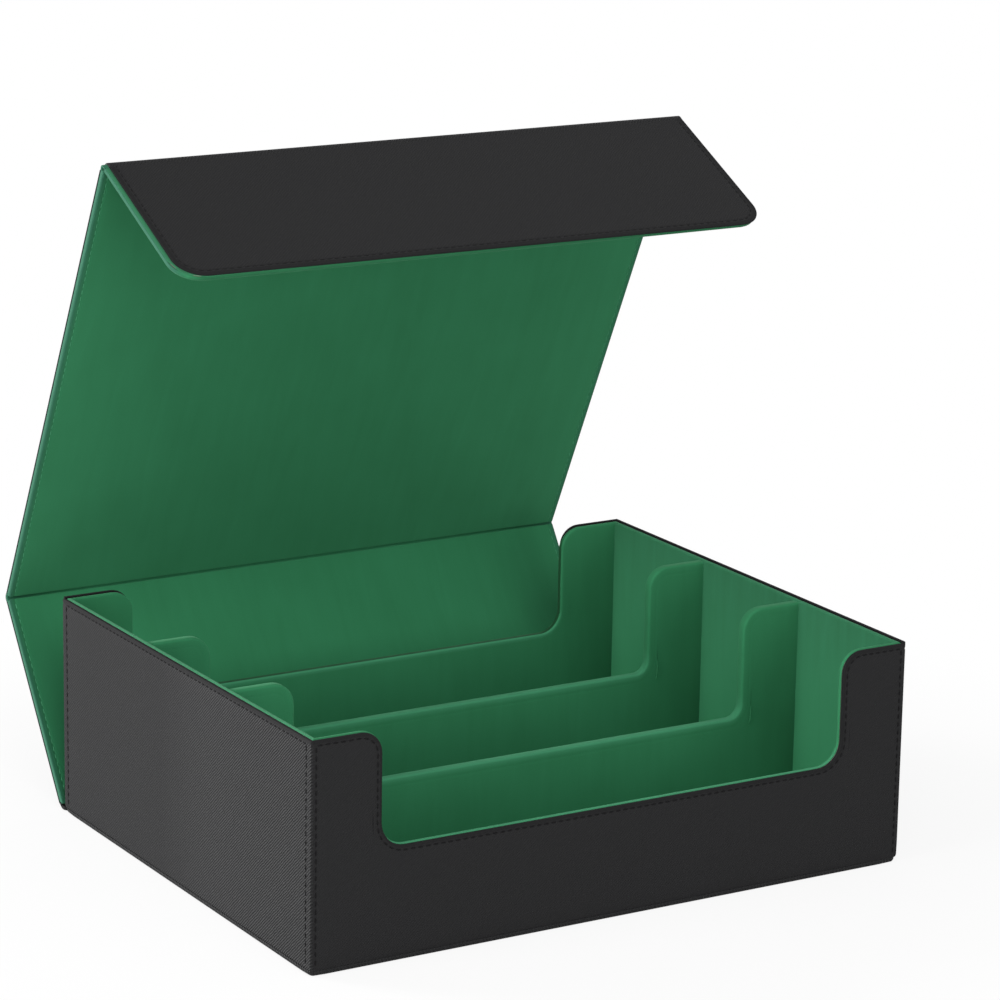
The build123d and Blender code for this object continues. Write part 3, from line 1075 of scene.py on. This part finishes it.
def divider_shape(low, high):
    """A card's outline carried across its thickness with eased edges. At a corner of radius r, whose
    sides run off along a and b, the arc is the corner + r(a + b) - r(b cos + a sin)."""
    near, far = low.y, high.y
    front_in, front_down = near + upper_front_notch[0], high.z - upper_front_notch[1]
    rear_in, rear_down = far - upper_rear_notch[0], high.z - upper_rear_notch[1]
    foot_in, foot_up = near + lower_front_notch[0], low.z + lower_front_notch[1]
    corner = np.array([
        (foot_in, low.z), (far, low.z), (far, rear_down), (rear_in, rear_down), (rear_in, high.z),
        (front_in, high.z), (front_in, front_down), (near, front_down), (near, foot_up),
        (foot_in, foot_up),
    ])
    tab, nook = divider_corner, divider_nook
    radius = np.array([tab, divider_point, tab, nook, tab, tab, nook, tab, tab, nook])
    radius = radius[:, None, None]
    back, on = (np.roll(corner, step, axis=0) - corner for step in (1, -1))
    back, on = (way / np.linalg.norm(way, axis=1, keepdims=True) for way in (back, on))
    back, on = back[:, None], on[:, None]
    arcs = on * np.cos(turn)[:, None] + back * np.sin(turn)[:, None]
    outline = (corner[:, None] + radius * (back + on) - radius * arcs).reshape(-1, 2)
    ahead = np.roll(outline, -1, axis=0) - np.roll(outline, 1, axis=0)
    into = np.column_stack([-ahead[:, 1], ahead[:, 0]])
    into = into / np.linalg.norm(ahead, axis=1, keepdims=True)
    ease, step = divider_ease * roll_drop[::2], divider_ease * roll_in[::2]
    rings = outline + np.append(ease, ease[::-1])[:, None, None] * into
    across = np.append(low.x + step, high.x - step[::-1])[:, None]
    points = np.dstack([np.broadcast_to(across, rings.shape[:2]), rings])
    index = np.arange(points[..., 0].size).reshape(points.shape[:2])
    closed = np.concatenate([index, index[:, :1]], axis=1)
    faces = [*grid_quads(closed).tolist(), index[0, ::-1].tolist(), index[-1].tolist()]
    points = points.reshape(-1, 3)
    return points, faces, points[:, 1:]


for colour, screen in divider_colours.items():
    node = f"divider_{colour}"
    shape, finish = divider_shape(*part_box(node)), divider_finish(colour, screen)
    add_piece(f"card_divider_{colour}", shape, finish, [node], node)

# Studio: a white floor that runs out into a white room, and soft light, most of it from the left.
# The floor shows its own light far out and the object's soft shadow close in.
floor_half = 6.0
ambient = 0.4
aim = np.array([0, 0.03, 0.12])

# Each lamp's place, the width of its disc and its power
lamps = {
    "left_light": ((-3.2, -0.3, 0.9), 2.0, 75),
    "upper_light": ((-0.6, -1.7, 1.8), 1.6, 26.6),
    "front_light": ((0.3, -2.3, 0.5), 1.4, 15.0),
    "edge_light": ((-7.8, 9.2, 2.5), 4.4, 1600),
}


def floor_finish():
    """White paint that mixes with its own white light, the more the further from the middle."""
    fixed = {"Base Color": (0.86, 0.86, 0.86, 1), "Roughness": 0.9}
    material, shader, wire, spot = new_finish("studio_floor", fixed)
    far = wire.node("VectorMath", {"operation": "LENGTH"}, {0: spot}, output="Value")
    span = {"Value": far, "From Min": 0.2, "From Max": 0.45, "To Min": 0.86, "To Max": 1.0}
    ramp = wire.node("MapRange", {"interpolation_type": "SMOOTHSTEP"}, span)
    path = wire.node("LightPath", output="Is Camera Ray")
    white = wire.node("Emission", inputs={"Color": (1, 1, 1, 1), "Strength": 1.0})
    paint = Wire(wire.tree, shader.outputs[0])
    mixed = wire.node("MixShader", inputs={0: ramp * path, 1: paint, 2: white})
    wire.tree.links.new(mixed.socket, wire.tree.nodes["Material Output"].inputs["Surface"])
    return material


def set_up(name, data, *ways_and_place):
    """A lamp or camera, from its directions to the right, up and back, and its place."""
    item = add_object(name, data)
    turned = np.eye(4)
    turned[:3] = np.column_stack(ways_and_place)
    item.matrix_world = Matrix(turned.tolist())
    return item


corners = [(-1, -1, 0), (1, -1, 0), (1, 1, 0), (-1, 1, 0)]
floor_mesh = bpy.data.meshes.new("studio_floor")
floor_mesh.from_pydata((floor_half * np.array(corners)).tolist(), [], [(0, 1, 2, 3)])
floor_mesh.materials.append(floor_finish())
studio_floor = add_object("studio_floor", floor_mesh)

room = bpy.data.worlds.new("white_room")
room.use_nodes = True
wire = Wire(room.node_tree)
kinds = ("Camera", "Glossy", "Transmission")
seen = [wire.node("LightPath", output=f"Is {kind} Ray") for kind in kinds]
shown = wire.maths("MAXIMUM", wire.maths("MAXIMUM", seen[0], seen[1]), seen[2])
background = room.node_tree.nodes["Background"]
background.inputs["Color"].default_value = (1, 1, 1, 1)
feed(background, {"Strength": shown * (1 - ambient) + ambient})
bpy.context.scene.world = room

for name, (place, size, power) in lamps.items():
    lamp = bpy.data.lights.new(name, "AREA")
    lamp.shape, lamp.size, lamp.energy = "DISK", size, power
    back = np.array(place) - aim
    back /= np.linalg.norm(back)
    right = np.cross((0, 0, 1), back)
    right /= np.linalg.norm(right)
    set_up(name, lamp, right, np.cross(back, right), back, place)

# Camera, at the photograph's viewing angle.
# A long lens from the front left, a little above the box, tilted by under a degree.
focal_pixels, frame_pixels, sensor = 4079.8, 1000, 36.0
heading, dip, tilt = np.radians([31.141, 14.624, 0.962])
camera_place = (-0.96483, -1.61474, 0.66053)
level_ahead = math.cos(dip) * np.array([math.sin(heading), math.cos(heading), 0])
forward = level_ahead - (0, 0, math.sin(dip))
level_right = np.array([math.cos(heading), -math.sin(heading), 0])
level_up = np.cross(level_right, forward)
right = math.cos(tilt) * level_right + math.sin(tilt) * level_up
up = math.cos(tilt) * level_up - math.sin(tilt) * level_right
lens = bpy.data.cameras.new("camera")
lens.sensor_width = sensor
lens.lens = sensor * focal_pixels / frame_pixels
bpy.context.scene.camera = set_up("camera", lens, right, up, -forward, camera_place)
bpy.context.scene.view_settings.view_transform = "Standard"
